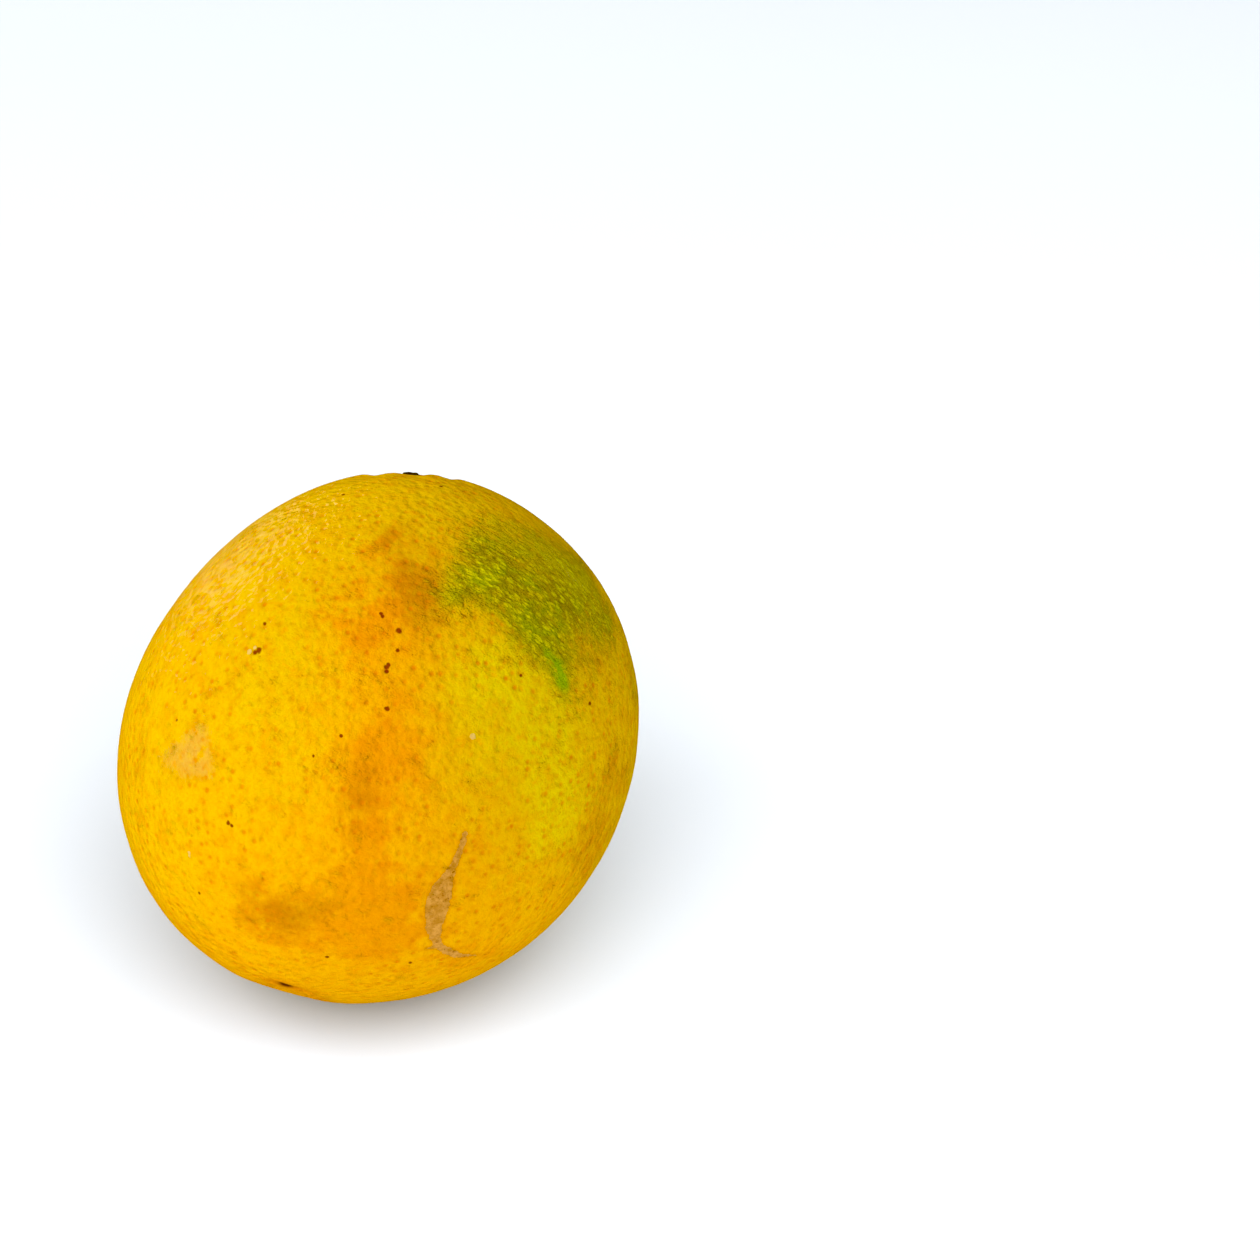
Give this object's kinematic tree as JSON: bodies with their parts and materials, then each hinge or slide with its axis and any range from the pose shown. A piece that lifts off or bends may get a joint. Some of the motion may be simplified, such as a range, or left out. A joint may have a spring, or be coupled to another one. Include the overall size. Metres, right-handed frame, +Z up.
{
  "type": "orange",
  "caption": "Whole navel orange with its dry calyx, lying on its side on a small flat spot.",
  "frame": {"origin": "middle of the small flat spot that the fruit lies on", "axes": "+Z up; -Y is the side that shows best, with the green patch on its right; the stem end leans back, away from -Y"},
  "size_m": [0.0783, 0.0783, 0.0787],
  "materials": {
    "peel": "satin",
    "calyx": "matte"
  },
  "bodies": {
    "root": {"fruit": "peel", "calyx": "calyx"}
  },
  "joints": []
}
